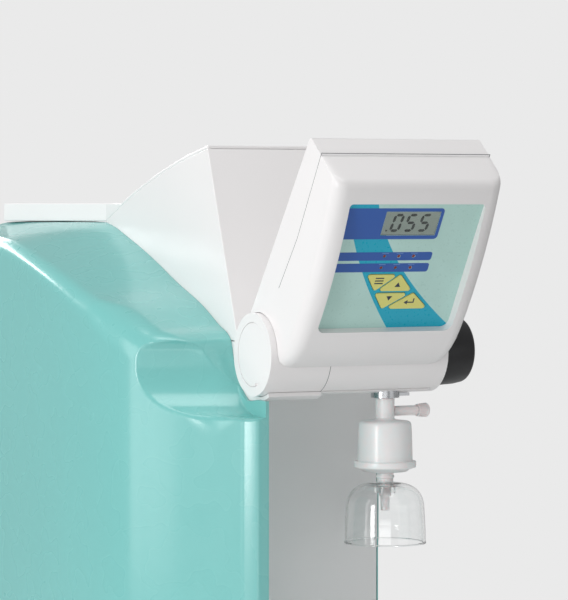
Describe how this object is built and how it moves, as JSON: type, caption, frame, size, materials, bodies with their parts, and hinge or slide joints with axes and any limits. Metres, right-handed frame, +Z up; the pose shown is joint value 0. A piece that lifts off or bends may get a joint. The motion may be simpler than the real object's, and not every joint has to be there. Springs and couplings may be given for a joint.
{
  "type": "ultrapure water system",
  "caption": "Bench ultrapure water unit: tilting display head on a hinge barrel, dispense knob, filter with filling bell, pull-off side covers.",
  "frame": {"origin": "middle of the bounding box in the rest pose, at the bench under the feet", "axes": "+X to the right seen from the front, +Y to the rear, +Z up"},
  "size_m": [0.305, 0.5054, 0.5338],
  "materials": {
    "white_shell": "satin moulded plastic",
    "teal_cover": "satin moulded plastic",
    "grey_panel": "fine matt paint",
    "sheet_steel": "bare sheet",
    "bright_steel": "satin",
    "black_rubber": "matt",
    "black_plastic": "satin",
    "black_cable": "matt",
    "grey_plastic": "matt",
    "keypad_print": "printed film",
    "yellow_key": "printed film",
    "clear_window": "polished",
    "lcd_grey": "liquid crystal glass",
    "circuit_board": "solder mask",
    "red_lens": "lens",
    "filter_white": "milky moulding",
    "filter_media": "pleated membrane",
    "clear_bell": "clear moulding",
    "white_plastic": "matt",
    "orange_float": "matt",
    "clear_tube": "soft tube",
    "red_rocker": "satin"
  },
  "bodies": {
    "chassis": {"base_plate": "sheet_steel", "feet": "black_rubber", "rear_panel": "grey_panel", "front_panel": "grey_panel", "frame_plates": "sheet_steel", "top_cover": "white_shell", "fairing": "white_shell", "hinge_cradle": "white_shell", "valve_housing": "white_shell", "knuckle_housing": "white_shell", "barrel_end_cap": "white_shell", "pivot_pin": "bright_steel", "trunnion": "bright_steel", "dispense_valve": "grey_plastic", "outlet_collar": "bright_steel", "tank_shelf": "sheet_steel", "tank": "white_plastic", "tank_lid": "grey_plastic", "level_rod": "bright_steel", "tank_vent_filter": "white_plastic", "pump_motor": "black_plastic", "pump_head": "bright_steel", "solenoid_valves": "grey_plastic", "left_manifold": "grey_plastic", "right_manifold": "grey_plastic", "pretreatment_cartridge": "white_plastic", "osmosis_module": "grey_plastic", "polishing_cartridge": "white_plastic", "uv_housing": "bright_steel", "uv_lamp": "white_plastic", "power_supply": "sheet_steel", "control_board": "circuit_board", "conductivity_cell": "grey_plastic", "tubing": "clear_tube", "water_fittings": "grey_plastic", "power_inlet": "black_plastic", "panel_screws": "bright_steel"},
    "head": {"head_rear_shell": "white_shell", "head_bezel": "white_shell", "head_screws": "bright_steel", "keypad_sheet": "keypad_print", "lcd_window": "clear_window", "lcd_module": "lcd_grey", "display_board": "circuit_board", "status_lamps": "red_lens", "head_cable": "black_cable"},
    "menu_key": {"key_menu": "yellow_key"},
    "up_key": {"key_up": "yellow_key"},
    "down_key": {"key_down": "yellow_key"},
    "enter_key": {"key_enter": "yellow_key"},
    "knob": {"valve_stem": "bright_steel", "dispense_knob": "black_plastic"},
    "filter": {"filter_body": "filter_white", "filter_element": "filter_media"},
    "cap": {"vent_cap": "filter_white"},
    "bell": {"filling_bell": "clear_bell"},
    "left_side": {"left_cover": "teal_cover"},
    "right_side": {"right_cover": "teal_cover"},
    "float": {"level_float": "orange_float"},
    "rocker": {"rocker_switch": "red_rocker"}
  },
  "joints": [
    {"name": "head_tilt", "type": "hinge", "parent": "chassis", "child": "head", "pos_m": [0.0075, -0.13128, 0.375], "axis": [-1, 0, 0], "range_deg": [0, 56]},
    {"name": "knob_turn", "type": "hinge", "parent": "chassis", "child": "knob", "pos_m": [0.0075, -0.13128, 0.375], "axis": [1, 0, 0], "range_deg": [0, 180]},
    {"name": "menu_press", "type": "slide", "parent": "head", "child": "menu_key", "axis": [0, 0.8581, 0.5135], "range_m": [0, 0.0005], "stiffness_N_per_m": 900},
    {"name": "up_press", "type": "slide", "parent": "head", "child": "up_key", "axis": [0, 0.8581, 0.5135], "range_m": [0, 0.0005], "stiffness_N_per_m": 900},
    {"name": "down_press", "type": "slide", "parent": "head", "child": "down_key", "axis": [0, 0.8581, 0.5135], "range_m": [0, 0.0005], "stiffness_N_per_m": 900},
    {"name": "enter_press", "type": "slide", "parent": "head", "child": "enter_key", "axis": [0, 0.8581, 0.5135], "range_m": [0, 0.0005], "stiffness_N_per_m": 900},
    {"name": "filter_pull", "type": "slide", "parent": "chassis", "child": "filter", "axis": [0, 0, -1], "range_m": [0, 0.03]},
    {"name": "vent_cap_turn", "type": "hinge", "parent": "filter", "child": "cap", "pos_m": [0.0451, -0.13128, 0.3297], "axis": [1, 0, 0], "range_deg": [0, 90]},
    {"name": "bell_pull", "type": "slide", "parent": "filter", "child": "bell", "axis": [0, 0, -1], "range_m": [0, 0.03]},
    {"name": "left_cover_pull", "type": "slide", "parent": "chassis", "child": "left_side", "axis": [-1, 0, 0], "range_m": [0, 0.1]},
    {"name": "right_cover_pull", "type": "slide", "parent": "chassis", "child": "right_side", "axis": [1, 0, 0], "range_m": [0, 0.1]},
    {"name": "float_rise", "type": "slide", "parent": "chassis", "child": "float", "axis": [0, 0, 1], "range_m": [0, 0.2]},
    {"name": "rocker_tilt", "type": "hinge", "parent": "chassis", "child": "rocker", "pos_m": [0.0105, 0.23572, 0.12], "axis": [1, 0, 0], "range_deg": [0, 14]}
  ]
}
